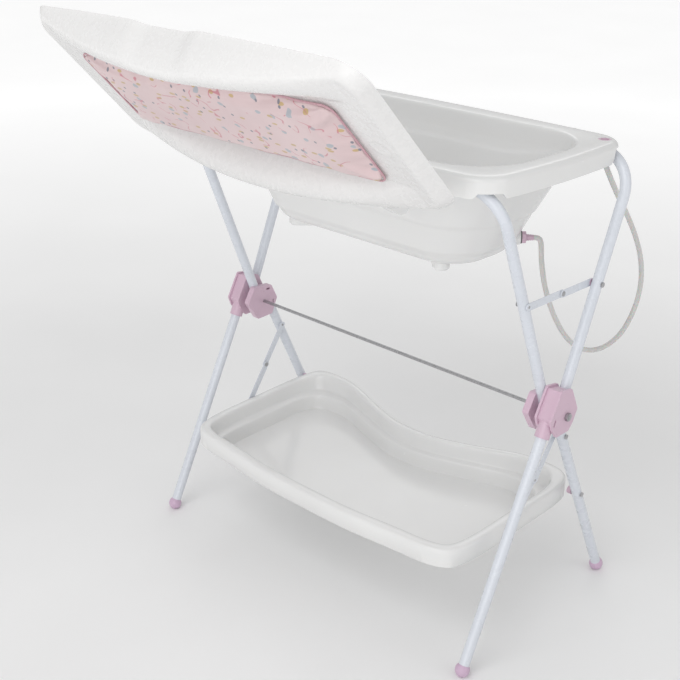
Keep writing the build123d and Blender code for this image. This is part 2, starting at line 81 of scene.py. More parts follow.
def add_object(name, verts, faces):
    mesh = bpy.data.meshes.new(name)
    mesh.from_pydata([tuple(v) for v in verts], [], faces)
    mesh.update()
    obj = bpy.data.objects.new(name, mesh)
    bpy.context.scene.collection.objects.link(obj)
    return obj


def shade_smooth(obj, angle=40):
    """Smooth shading, with edges sharper than the angle kept."""
    for poly in obj.data.polygons:
        poly.use_smooth = True
    obj.data.set_sharp_from_angle(angle=math.radians(angle))


def apply_modifiers(obj):
    """Replace the object's mesh with what its modifiers make of it."""
    graph = bpy.context.evaluated_depsgraph_get()
    mesh = bpy.data.meshes.new_from_object(obj.evaluated_get(graph))
    obj.modifiers.clear()
    obj.data = mesh


def fix_normals(obj):
    bm = bmesh.new()
    bm.from_mesh(obj.data)
    bmesh.ops.remove_doubles(bm, verts=bm.verts, dist=0.00002)
    bmesh.ops.recalc_face_normals(bm, faces=bm.faces)
    bm.to_mesh(obj.data)
    bm.free()


def skin_rings(name, rings):
    """Closed mesh through rings of points that all have the same count, capped at both ends."""
    count = len(rings[0])
    verts = [Vector(p) for ring in rings for p in ring]
    faces = []
    for r in range(len(rings) - 1):
        a, b = r * count, (r + 1) * count
        for i in range(count):
            j = (i + 1) % count
            faces.append((a + i, a + j, b + j, b + i))
    for start in (0, (len(rings) - 1) * count):
        centre = sum((verts[start + i] for i in range(count)), Vector()) / count
        verts.append(centre)
        for i in range(count):
            faces.append((start + i, start + (i + 1) % count, len(verts) - 1))
    obj = add_object(name, verts, faces)
    fix_normals(obj)
    return obj


def joined(name, objs):
    """One object made of several."""
    bm = bmesh.new()
    for obj in objs:
        bm.from_mesh(obj.data)
        bpy.data.objects.remove(obj)
    mesh = bpy.data.meshes.new(name)
    bm.to_mesh(mesh)
    bm.free()
    whole = bpy.data.objects.new(name, mesh)
    bpy.context.scene.collection.objects.link(whole)
    return whole


def prism(name, outline, thickness, place, bevel=0.0008):
    """Plate with an outline in x and y, bevelled, then placed by a matrix."""
    bm = bmesh.new()
    face = bm.faces.new([bm.verts.new((x, y, 0)) for x, y in outline])
    out = bmesh.ops.extrude_face_region(bm, geom=[face])
    moved = [g for g in out["geom"] if isinstance(g, bmesh.types.BMVert)]
    bmesh.ops.translate(bm, verts=moved, vec=(0, 0, thickness))
    bmesh.ops.recalc_face_normals(bm, faces=bm.faces)
    if bevel:
        sharp = [e for e in bm.edges if e.calc_face_angle(0) > math.radians(50)]
        bmesh.ops.bevel(bm, geom=sharp, offset=bevel, segments=2, affect="EDGES")
    bmesh.ops.transform(bm, matrix=place, verts=bm.verts)
    mesh = bpy.data.meshes.new(name)
    bm.to_mesh(mesh)
    bm.free()
    obj = bpy.data.objects.new(name, mesh)
    bpy.context.scene.collection.objects.link(obj)
    return obj


def round_rect(a, b, r, count=320):
    """Rounded rectangle: every one has the same share of its points on each side and corner."""
    r = min(r, a - 0.0004, b - 0.0004)
    sx, sy = a - r, b - r
    arc, short = count // 16, count // 16
    long = count // 4 - arc - short
    quarter = [(a, sy * i / short) for i in range(short)]
    for i in range(arc):
        turn = math.pi / 2 * i / arc
        quarter.append((sx + r * math.cos(turn), sy + r * math.sin(turn)))
    quarter += [(sx * (1 - i / long), b) for i in range(long)]
    back = [(0.0, b)] + quarter[:0:-1]
    points = quarter + [(-x, y) for x, y in back]
    return points + [(-x, -y) for x, y in quarter] + [(x, -y) for x, y in back]


# ---- materials ----
def new_material(name):
    material = bpy.data.materials.new(name)
    material.use_nodes = True
    nodes = material.node_tree.nodes
    return material, nodes, material.node_tree.links, nodes["Principled BSDF"]


def object_coords(nodes, links, scale=(1, 1, 1)):
    coords = nodes.new("ShaderNodeTexCoord")
    mapping = nodes.new("ShaderNodeMapping")
    mapping.inputs["Scale"].default_value = scale
    links.new(coords.outputs["Object"], mapping.inputs["Vector"])
    return mapping.outputs["Vector"]


def noise_node(nodes, links, vector, scale, detail=3.0, rough=0.5):
    tex = nodes.new("ShaderNodeTexNoise")
    tex.inputs["Scale"].default_value = scale
    tex.inputs["Detail"].default_value = detail
    tex.inputs["Roughness"].default_value = rough
    links.new(vector, tex.inputs["Vector"])
    return tex.outputs["Fac"]


def ramp_node(nodes, links, fac, stops):
    """Colour ramp; stops are (position, colour)."""
    ramp = nodes.new("ShaderNodeValToRGB")
    elements = ramp.color_ramp.elements
    while len(elements) < len(stops):
        elements.new(0.5)
    for element, (position, colour) in zip(elements, stops):
        element.position = position
        element.color = (*colour, 1)
    links.new(fac, ramp.inputs["Fac"])
    return ramp.outputs["Color"]


def value_range(nodes, links, fac, low, high, from_low=0.3, from_high=0.7):
    remap = nodes.new("ShaderNodeMapRange")
    remap.inputs["From Min"].default_value = from_low
    remap.inputs["From Max"].default_value = from_high
    remap.inputs["To Min"].default_value = low
    remap.inputs["To Max"].default_value = high
    links.new(fac, remap.inputs["Value"])
    return remap.outputs["Result"]


def add_bump(nodes, links, shader, heights):
    """Chain of bumps; heights are (socket, strength, distance)."""
    normal = None
    for socket, strength, distance in heights:
        bump = nodes.new("ShaderNodeBump")
        bump.inputs["Strength"].default_value = strength
        bump.inputs["Distance"].default_value = distance
        links.new(socket, bump.inputs["Height"])
        if normal:
            links.new(normal, bump.inputs["Normal"])
        normal = bump.outputs["Normal"]
    links.new(normal, shader.inputs["Normal"])


def moulded_plastic(name, colour, rough=0.24, grain=900.0, depth=0.00002, glow=0.0, sheen_tone=0.04):
    """Injection-moulded plastic: faint tone drift, flow waviness and a fine satin grain."""
    material, nodes, links, shader = new_material(name)
    vec = object_coords(nodes, links)
    drift = noise_node(nodes, links, vec, 5.0, 2.0)
    dark = tuple(c * (1 - sheen_tone) for c in colour)
    links.new(ramp_node(nodes, links, drift, [(0.3, dark), (0.7, colour)]), shader.inputs["Base Color"])
    fine = noise_node(nodes, links, vec, grain, 2.0)
    wave = noise_node(nodes, links, vec, 14.0, 1.0)
    scuff = noise_node(nodes, links, vec, 60.0, 6.0, 0.7)
    links.new(value_range(nodes, links, scuff, rough * 0.85, rough * 1.25), shader.inputs["Roughness"])
    add_bump(nodes, links, shader, [(wave, 0.12, 0.0012), (fine, 0.25, depth)])
    shader.inputs["IOR"].default_value = 1.49
    shader.inputs["Coat Weight"].default_value = 0.15
    shader.inputs["Coat Roughness"].default_value = 0.12
    if glow:
        shader.inputs["Subsurface Weight"].default_value = glow
        shader.inputs["Subsurface Radius"].default_value = (1.0, 0.95, 0.88)
        shader.inputs["Subsurface Scale"].default_value = 0.004
    return material


def frame_enamel():
    """Powder-coated steel tube: slight orange peel under a clear gloss."""
    material, nodes, links, shader = new_material("frame_enamel")
    vec = object_coords(nodes, links)
    tone = noise_node(nodes, links, vec, 9.0, 3.0)
    links.new(ramp_node(nodes, links, tone, [(0.3, (0.66, 0.69, 0.745)), (0.7, (0.70, 0.73, 0.785))]),
              shader.inputs["Base Color"])
    peel = noise_node(nodes, links, vec, 420.0, 2.0)
    wear = noise_node(nodes, links, vec, 45.0, 6.0, 0.65)
    links.new(value_range(nodes, links, wear, 0.24, 0.32), shader.inputs["Roughness"])
    add_bump(nodes, links, shader, [(peel, 0.2, 0.00003)])
    shader.inputs["Coat Weight"].default_value = 0.35
    shader.inputs["Coat Roughness"].default_value = 0.08
    return material


def plated_steel():
    """Zinc-plated steel with turned streaks round its axis."""
    material, nodes, links, shader = new_material("plated_steel")
    vec = object_coords(nodes, links, (900, 60, 60))
    streak = noise_node(nodes, links, vec, 1.0, 4.0, 0.6)
    links.new(ramp_node(nodes, links, streak, [(0.3, (0.36, 0.36, 0.37)), (0.7, (0.56, 0.56, 0.57))]),
              shader.inputs["Base Color"])
    links.new(value_range(nodes, links, streak, 0.26, 0.42), shader.inputs["Roughness"])
    shader.inputs["Metallic"].default_value = 1.0
    add_bump(nodes, links, shader, [(streak, 0.25, 0.00004)])
    return material


def gasket_rubber():
    material, nodes, links, shader = new_material("gasket_rubber")
    vec = object_coords(nodes, links)
    fine = noise_node(nodes, links, vec, 700.0, 3.0)
    links.new(ramp_node(nodes, links, fine, [(0.3, (0.05, 0.05, 0.052)), (0.7, (0.09, 0.09, 0.092))]),
              shader.inputs["Base Color"])
    links.new(value_range(nodes, links, fine, 0.6, 0.8), shader.inputs["Roughness"])
    add_bump(nodes, links, shader, [(fine, 0.3, 0.00005)])
    return material


def hose_plastic():
    """Soft, milky tube with a faint haze inside."""
    material, nodes, links, shader = new_material("hose_plastic")
    vec = object_coords(nodes, links)
    haze = noise_node(nodes, links, vec, 38.0, 3.0)
    links.new(ramp_node(nodes, links, haze, [(0.2, (0.60, 0.595, 0.58)), (0.8, (0.65, 0.645, 0.63))]),
              shader.inputs["Base Color"])
    links.new(value_range(nodes, links, haze, 0.22, 0.34), shader.inputs["Roughness"])
    fine = noise_node(nodes, links, vec, 500.0, 2.0)
    add_bump(nodes, links, shader, [(fine, 0.15, 0.00003)])
    shader.inputs["Subsurface Weight"].default_value = 0.3
    shader.inputs["Subsurface Scale"].default_value = 0.003
    return material


WHITE = moulded_plastic("white_shell", (0.80, 0.80, 0.795), 0.22, glow=0.12)
LID_WHITE = moulded_plastic("white_lid", (0.79, 0.785, 0.78), 0.26, depth=0.000008)
PINK = moulded_plastic("pink_fittings", (0.67, 0.485, 0.59), 0.30, 700.0, 0.00003, sheen_tone=0.08)
FOOT = moulded_plastic("pink_feet", (0.65, 0.47, 0.62), 0.38, 500.0, 0.00005, sheen_tone=0.10)
ENAMEL = frame_enamel()
STEEL = plated_steel()
RUBBER = gasket_rubber()
HOSE = hose_plastic()


def paint(obj, material):
    """Give every slot of an object one material."""
    if not obj.data.materials:
        obj.data.materials.append(material)
    for slot in obj.material_slots:
        slot.material = material


def paint_cad_nodes():
    """Better materials for the nodes whose shape is already right."""
    by_slot = {"frame_paint": ENAMEL, "foot_plastic": FOOT, "pink_plastic": PINK, "steel": STEEL,
               "white_plastic": WHITE, "gasket_rubber": RUBBER, "mat_cover": WHITE, "hose_plastic": HOSE}
    for sub in frame["record"]["subparts"]:
        obj = frame["nodes"][sub["node"]]
        paint(obj, by_slot[sub["material_slot"]])


# ---- camera ----
def add_camera():
    """Camera that stands at the right and the front, a little above the rim."""
    data = bpy.data.cameras.new("camera")
    data.lens, data.sensor_width = 65.27, 36.0
    data.shift_x, data.shift_y = 0.0313, -0.0147
    data.clip_end = 50
    camera = bpy.data.objects.new("camera", data)
    camera.location = (1.43245, -1.6105 + PIVOT_Y, 1.34937)
    camera.rotation_euler = (math.radians(90 - 22.517), math.radians(-0.21), math.radians(45.206))
    bpy.context.scene.collection.objects.link(camera)
    bpy.context.scene.camera = camera


# ---- drain hose ----
def drain_point(out, drop=0.0):
    """Point on the drain's axis, out from the tub wall, less a drop."""
    run = Vector((0.75, 0.66, 0)).normalized()
    start = Vector((0.161, PIVOT_Y + 0.023, 0.6772)) + run * 0.083
    p = start + run * out
    return p.x, p.y, p.z - drop


HOSE_END = (0.336, PIVOT_Y + 0.146, 0.846)
HOSE_POINTS = [
    drain_point(0.031), drain_point(0.039), drain_point(0.044, 0.007),
    (0.261, PIVOT_Y + 0.103, 0.656), (0.263, PIVOT_Y + 0.104, 0.630),
    (0.268, PIVOT_Y + 0.114, 0.581), (0.275, PIVOT_Y + 0.135, 0.530),
    (0.281, PIVOT_Y + 0.164, 0.485), (0.288, PIVOT_Y + 0.205, 0.446),
    (0.297, PIVOT_Y + 0.262, 0.428), (0.306, PIVOT_Y + 0.318, 0.443),
    (0.312, PIVOT_Y + 0.352, 0.490), (0.318, PIVOT_Y + 0.356, 0.545),
    (0.323, PIVOT_Y + 0.336, 0.600), (0.328, PIVOT_Y + 0.300, 0.652),
    (0.332, PIVOT_Y + 0.257, 0.702), (0.337, PIVOT_Y + 0.209, 0.750),
    (0.341, PIVOT_Y + 0.174, 0.788), (0.339, PIVOT_Y + 0.151, 0.822), HOSE_END,
]


def make_hose():
    curve = bpy.data.curves.new("drain_hose", "CURVE")
    curve.dimensions = "3D"
    spline = curve.splines.new("NURBS")
    spline.points.add(len(HOSE_POINTS) - 1)
    for point, place in zip(spline.points, HOSE_POINTS):
        point.co = (*place, 1)
    spline.order_u = 3
    spline.use_endpoint_u = True
    spline.resolution_u = 12
    curve.bevel_depth = HOSE_D / 2
    curve.bevel_resolution = 6
    curve.use_fill_caps = True
    hose = bpy.data.objects.new("drain_hose", curve)
    bpy.context.scene.collection.objects.link(hose)
    curve.materials.append(HOSE)
    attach(hose, "bath_body")
    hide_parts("hose")


# ---- bath ----
def tub_size(z):
    """Half length, half width and corner radius of the tub's outside at height z."""
    levels = [(0.8572, 0.333, 0.158, 0.110), (0.8222, 0.318, 0.152, 0.105), (0.737, 0.275, 0.128, 0.098),
              (0.733, 0.271, 0.124, 0.096), (0.682, 0.246, 0.108, 0.085), (0.660, 0.231, 0.096, 0.074)]
    for (z1, a1, b1, r1), (z0, a0, b0, r0) in zip(levels, levels[1:]):
        if z >= z0:
            t = min((z1 - z) / (z1 - z0), 1)
            return a1 + (a0 - a1) * t, b1 + (b0 - b1) * t, r1 + (r0 - r1) * t
    return levels[-1][1:]


def rim_outline(inset, count=320):
    """Outer outline of the rim, bowed a little on all four sides."""
    a, b = 0.358 - inset, 0.190 - inset
    points = []
    for x, y in round_rect(a, b, 0.046 - inset / 2, count):
        bow_x = 0.012 * (1 - (y / b) ** 2)
        bow_y = 0.010 * (1 - (x / a) ** 2)
        points.append((x * (1 + bow_x / a), y * (1 + bow_y / b)))
    return points


def skirt_depth(x, y):
    """Depth of the rim's skirt, less where the frame's tubes come out at the corners."""
    depth = RIM_H
    if abs(x) > 0.325:
        side = smooth((abs(x) - 0.325) / 0.012)
        rear = smooth((y - 0.140) / 0.010) * smooth((0.190 - y) / 0.006)
        front = smooth((-y - 0.146) / 0.008) * smooth((0.190 + y) / 0.006)
        depth -= side * (0.026 * rear + 0.009 * front)
    return depth


def inner_ledge(x, y, z):
    """How far the tub's wall steps in under the soft ledge round the mouth."""
    rise = smooth((abs(x) - 0.13) / 0.15)
    line = 0.807 + 0.020 * rise
    return 0.0045 * smooth((line - z) / 0.005)


def bath_rings():
    """Rings of the bath's shell, from the middle of its floor inside to the middle outside."""
    floor = 0.657
    rings = []

    def level(points, z):
        rings.append([(x, PIVOT_Y + y, z) for x, y in points])

    for k in range(6):
        grow = 0.35 + 0.65 * k / 5
        level(round_rect(0.200 * grow, 0.068 * grow, 0.05 * grow), floor)
    for k in range(1, 8):
        turn = math.pi / 2 * k / 8
        a, b, r = tub_size(0.682)
        inset = 0.030 * (1 - math.sin(turn))
        level(round_rect(a - WALL - 0.010 - inset, b - WALL - 0.008 - inset, r - 0.012 - inset / 2),
              floor + 0.024 * (1 - math.cos(turn)))
    z = 0.684
    while z < RIM_TOP - 0.007:
        a, b, r = tub_size(z)
        ring = []
        for x, y in round_rect(a - WALL, b - WALL, r - WALL):
            step = inner_ledge(x, y, z)
            ring.append((x * (1 - step / a), y * (1 - step / b)))
        level(ring, z)
        z += 0.0025 if z > 0.795 else 0.006
    a, b, r = tub_size(RIM_TOP - 0.006)
    for k in range(1, 6):
        turn = math.pi / 2 * k / 5
        out = -WALL + 0.007 * (1 - math.cos(turn))
        level(round_rect(a + out, b + out, r + out), RIM_TOP - 0.006 + 0.0055 * math.sin(turn))
    for inset in (0.024, 0.018, 0.012):
        level(rim_outline(inset), RIM_TOP)
    edge = 0.010
    for k in range(1, 8):
        turn = math.pi / 2 * k / 7
        level(rim_outline(edge * (1 - math.sin(turn))), RIM_TOP - edge * (1 - math.cos(turn)))
    outer = rim_outline(0.0)
    inner = rim_outline(WALL)
    for share in (0.2, 0.4, 0.6, 0.8, 0.93, 1.0):
        rings.append([(x, PIVOT_Y + y, RIM_TOP - edge - (skirt_depth(x, y) - edge) * share)
                      for x, y in outer])
    for share in (1.0, 0.6, 0.3, 0.0):
        rings.append([(x, PIVOT_Y + y, RIM_TOP - WALL - (skirt_depth(x, y) - WALL) * share)
                      for x, y in inner])
    z = RIM_TOP - WALL
    level(round_rect(*tub_size(z)), z)
    while z > 0.684:
        z -= 0.004
        level(round_rect(*tub_size(z)), z)
    for k in range(1, 8):
        turn = math.pi / 2 * k / 8
        a, b, r = tub_size(0.682)
        inset = 0.030 * (1 - math.cos(turn))
        level(round_rect(a - 0.010 - inset, b - 0.008 - inset, r - 0.012 - inset / 2),
              0.680 - 0.026 * math.sin(turn))
    for k in range(5, -1, -1):
        grow = 0.35 + 0.65 * k / 5
        level(round_rect(0.200 * grow, 0.068 * grow, 0.05 * grow), floor - WALL)
    return rings


def slot_outline(length, width, steps=10):
    """Stadium outline round the origin."""
    run, r = (length - width) / 2, width / 2
    points = []
    for side, start in ((1, -90), (-1, 90)):
        for k in range(steps + 1):
            turn = math.radians(start + 180 * k / steps)
            points.append((side * run + r * math.cos(turn), r * math.sin(turn)))
    return points


def bath_feet():
    """Four pads under the tub, across its corners."""
    pads = []
    for sx in (-1, 1):
        for sy in (-1, 1):
            place = (Matrix.Translation((sx * 0.165, PIVOT_Y + sy * 0.055, 0.6425))
                     @ Matrix.Rotation(math.radians(45) * sx * sy, 4, "Z"))
            pads.append(prism("pad", slot_outline(0.062, 0.029), 0.030, place, 0.003))
    return pads


def rim_ribs():
    """Thin ribs under the rim, cut out over the frame's bars."""
    bar_y = 0.448 * math.sin(math.radians(22))
    bar_z = 0.4212 + 0.448 * math.cos(math.radians(22))
    ribs = []
    for x in (-0.250, -0.150, -0.050, 0.050, 0.150, 0.250):
        for way in (-1, 1):
            r = 0.0098
            arc = [(bar_y + r * math.cos(math.radians(t)), bar_z + r * math.sin(math.radians(t)))
                   for t in range(0, 181, 15)]
            outline = [(0.194, 0.832), (0.194, 0.8555), (0.157, 0.8555), (0.1535, 0.832),
                       (bar_y - r, 0.832)] + arc[::-1] + [(bar_y + r, 0.832)]
            place = Matrix(((0, 0, 1, x - 0.0015), (way, 0, 0, PIVOT_Y), (0, 1, 0, 0), (0, 0, 0, 1)))
            ribs.append(prism("rib", outline, 0.003, place, 0))
    return ribs


def cut_round(obj, centre, radius, depth, direction):
    """Cut a round pocket into an object."""
    bm = bmesh.new()
    bmesh.ops.create_cone(bm, cap_ends=True, segments=48, radius1=radius, radius2=radius, depth=depth)
    mesh = bpy.data.meshes.new("cutter")
    bm.to_mesh(mesh)
    bm.free()
    cutter = bpy.data.objects.new("cutter", mesh)
    cutter.matrix_world = (Matrix.Translation(centre)
                           @ Vector(direction).to_track_quat("Z", "Y").to_matrix().to_4x4())
    bpy.context.scene.collection.objects.link(cutter)
    mod = obj.modifiers.new("cut", "BOOLEAN")
    mod.operation = "DIFFERENCE"
    mod.object = cutter
    mod.solver = "EXACT"
    apply_modifiers(obj)
    bpy.data.objects.remove(cutter)


def drain_boss():
    """Short round boss in the tub's wall that the drain fitting screws into."""
    start, end = Vector(drain_point(-0.006)), Vector(drain_point(0.008))
    bm = bmesh.new()
    bmesh.ops.create_cone(bm, cap_ends=True, segments=48, radius1=0.013, radius2=0.013,
                          depth=(end - start).length)
    rim = [e for e in bm.edges if e.calc_face_angle(0) > math.radians(50)]
    bmesh.ops.bevel(bm, geom=rim, offset=0.0008, segments=2, affect="EDGES")
    turn = (end - start).to_track_quat("Z", "Y").to_matrix().to_4x4()
    bmesh.ops.transform(bm, matrix=Matrix.Translation((start + end) / 2) @ turn, verts=bm.verts)
    mesh = bpy.data.meshes.new("boss")
    bm.to_mesh(mesh)
    bm.free()
    boss = bpy.data.objects.new("boss", mesh)
    bpy.context.scene.collection.objects.link(boss)
    return boss


def make_bath():
    shell = skin_rings("shell", bath_rings())
    cut_round(shell, (0.334, PIVOT_Y + 0.156, RIM_TOP), 0.0112, 0.009, (0, 0, 1))
    bath = joined("bath_shell", [shell, drain_boss()] + bath_feet() + rim_ribs())
    paint(bath, WHITE)
    shade_smooth(bath, 38)
    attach(bath, "bath_body")
    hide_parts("bath")


# ---- tray ----
def tray_outline(inset, count=300):
    """Kidney-shaped outline: bowed front, wide bay at the back, round corners."""
    x = 0.3445 - inset
    front, back, bay = -0.214 + inset, 0.154 - inset * 1.1, 0.087 - inset * 0.85
    mid, c = -0.234 + inset, max(0.034 - inset * 0.35, 0.012)
    half = [(0, mid), (0.33 * x, mid + 0.001), (0.64 * x, mid * 0.35 + front * 0.65),
            (x - c, front), (x, front + c), (x, 0.0), (x, back - 0.040), (x - 0.022, back - 0.004),
            (x - 0.075, back), (0.655 * x, back - 0.004), (0.41 * x, (back + bay * 1.15) / 2.12),
            (0.15 * x, bay + 0.002), (0, bay)]
    points = half + [(-px, py) for px, py in half[-2:0:-1]]
    for _ in range(3):
        cut = []
        for (x0, y0), (x1, y1) in zip(points, points[1:] + points[:1]):
            cut += [(0.75 * x0 + 0.25 * x1, 0.75 * y0 + 0.25 * y1),
                    (0.25 * x0 + 0.75 * x1, 0.25 * y0 + 0.75 * y1)]
        points = cut
    return points


def make_tray():
    tilt = math.radians(2.3)
    ref_y, ref_z = PIVOT_Y - 0.161, 0.2102

    def level(inset, depth, grow=1.0):
        ring = []
        for x, y in tray_outline(inset):
            x, y = x * grow, (y + 0.05) * grow - 0.05
            run = y + 0.161
            hump = 0.0 if depth > 0.02 else 0.004 * smooth((y - 0.10) / 0.05)
            z = ref_z + run * math.tan(tilt) - depth / math.cos(tilt) + hump
            ring.append((x, ref_y + run, z))
        return ring

    rings = [level(0.043, 0.0615, g) for g in (0.2, 0.5, 0.8, 0.97)]
    rings += [level(0.0415, 0.0605), level(0.0405, 0.058), level(0.0395, 0.045), level(0.0385, 0.0345),
              level(0.0375, 0.0315), level(0.0355, 0.0302), level(0.0245, 0.0298), level(0.0225, 0.0285),
              level(0.0215, 0.026), level(0.0200, 0.012), level(0.0190, 0.004), level(0.0180, 0.0015),
              level(0.0160, 0.0003), level(0.0100, 0.0), level(0.0045, 0.0003), level(0.0018, 0.0016),
              level(0.0004, 0.0045), level(0.0, 0.012), level(0.0, 0.0335), level(0.0008, 0.0345),
              level(0.0025, 0.0335), level(0.0025, 0.005), level(0.0045, 0.003), level(0.0155, 0.003),
              level(0.0175, 0.005), level(0.0195, 0.033), level(0.0220, 0.0330), level(0.0345, 0.033),
              level(0.0362, 0.036), level(0.0375, 0.0600), level(0.0400, 0.0640)]
    rings += [level(0.0405, 0.0643, g) for g in (0.97, 0.8, 0.5, 0.2)]
    tray = skin_rings("storage_tray", rings)
    paint(tray, WHITE)
    shade_smooth(tray, 42)
    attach(tray, "tray_body")
    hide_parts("tray")


# ---- changing top ----
def lid_matrix():
    """From the lid's own axes (along the hinge, out from it, up) to the model's."""
    return Matrix(((1, 0, 0, 0),
                   (0, math.cos(OPEN), -math.sin(OPEN), HINGE_Y),
                   (0, math.sin(OPEN), math.cos(OPEN), HINGE_Z),
                   (0, 0, 0, 1)))


def roll_height(x, s):
    """Height of the two arched rolls over the plateau."""
    arch = 1 - (x / ROLL_HALF_X) ** 2
    if arch <= 0:
        return 0.0
    edge = LID_HALF_S - abs(s - LID_MID)
    if edge < ROLL_CREST:
        across = 1 - ((ROLL_CREST - edge) / ROLL_OUTER) ** 2
    else:
        across = 1 - ((edge - ROLL_CREST) / ROLL_INNER) ** 2
    if across <= 0:
        return 0.0
    return RIDGE * arch * across ** 0.72


def lid_point(x, s, inset):
    """Surface of the lid at a place that is inset from its outline."""
    bow = 0.009 * (1 - (x / LID_HALF_X) ** 2) * smooth((s - LID_MID) / LID_HALF_S)
    dip = 0.012 * smooth((0.082 - abs(x + 0.010)) / 0.045) * smooth((s - LID_MID) / LID_HALF_S - 0.55)
    skirt = PLATEAU * (1 - (1 - min(inset / 0.0185, 1)) ** 1.6)
    return x, s + bow - dip * 1.6, LID_BASE + skirt + roll_height(x, s)


def ring_boss(x, s):
    """Low moulded ring near the lid's right end."""
    d = math.hypot(x - BOSS_X, s - LID_MID)
    return BOSS_H * smooth((BOSS_OUT - d) / BOSS_SOFT) * smooth((d - BOSS_IN) / BOSS_SOFT)


def make_lid():
    rings = []
    insets = [0, 0.0008, 0.002, 0.004, 0.007, 0.010, 0.013, 0.016, 0.0185, 0.021, 0.024]
    insets += [0.024 + 0.0034 * k for k in range(1, 42)]
    place = lid_matrix()

    def ring(inset, drop, lower=0.0):
        out = []
        for x, y in round_rect(LID_HALF_X - inset, LID_HALF_S - inset, max(0.045 - inset * 0.8, 0.004), 480):
            x, s, h = lid_point(x, LID_MID + y, max(inset - lower, 0.0))
            h += ring_boss(x, s) if not drop else 0.0
            out.append(place @ Vector((x, s, max(h - drop, LID_BASE))))
        return out

    top = [ring(i, 0.0) for i in insets]
    under = [ring(max(i, LID_LIP), LID_WALL, LID_LIP) for i in insets if i < 0.14]
    lip = [ring(0.0, 0.0)]
    rings = top[::-1] + lip + under
    lid = skin_rings("changing_lid", rings)
    paint(lid, LID_WHITE)
    shade_smooth(lid, 50)
    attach(lid, "top_body")
    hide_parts("changing_top")


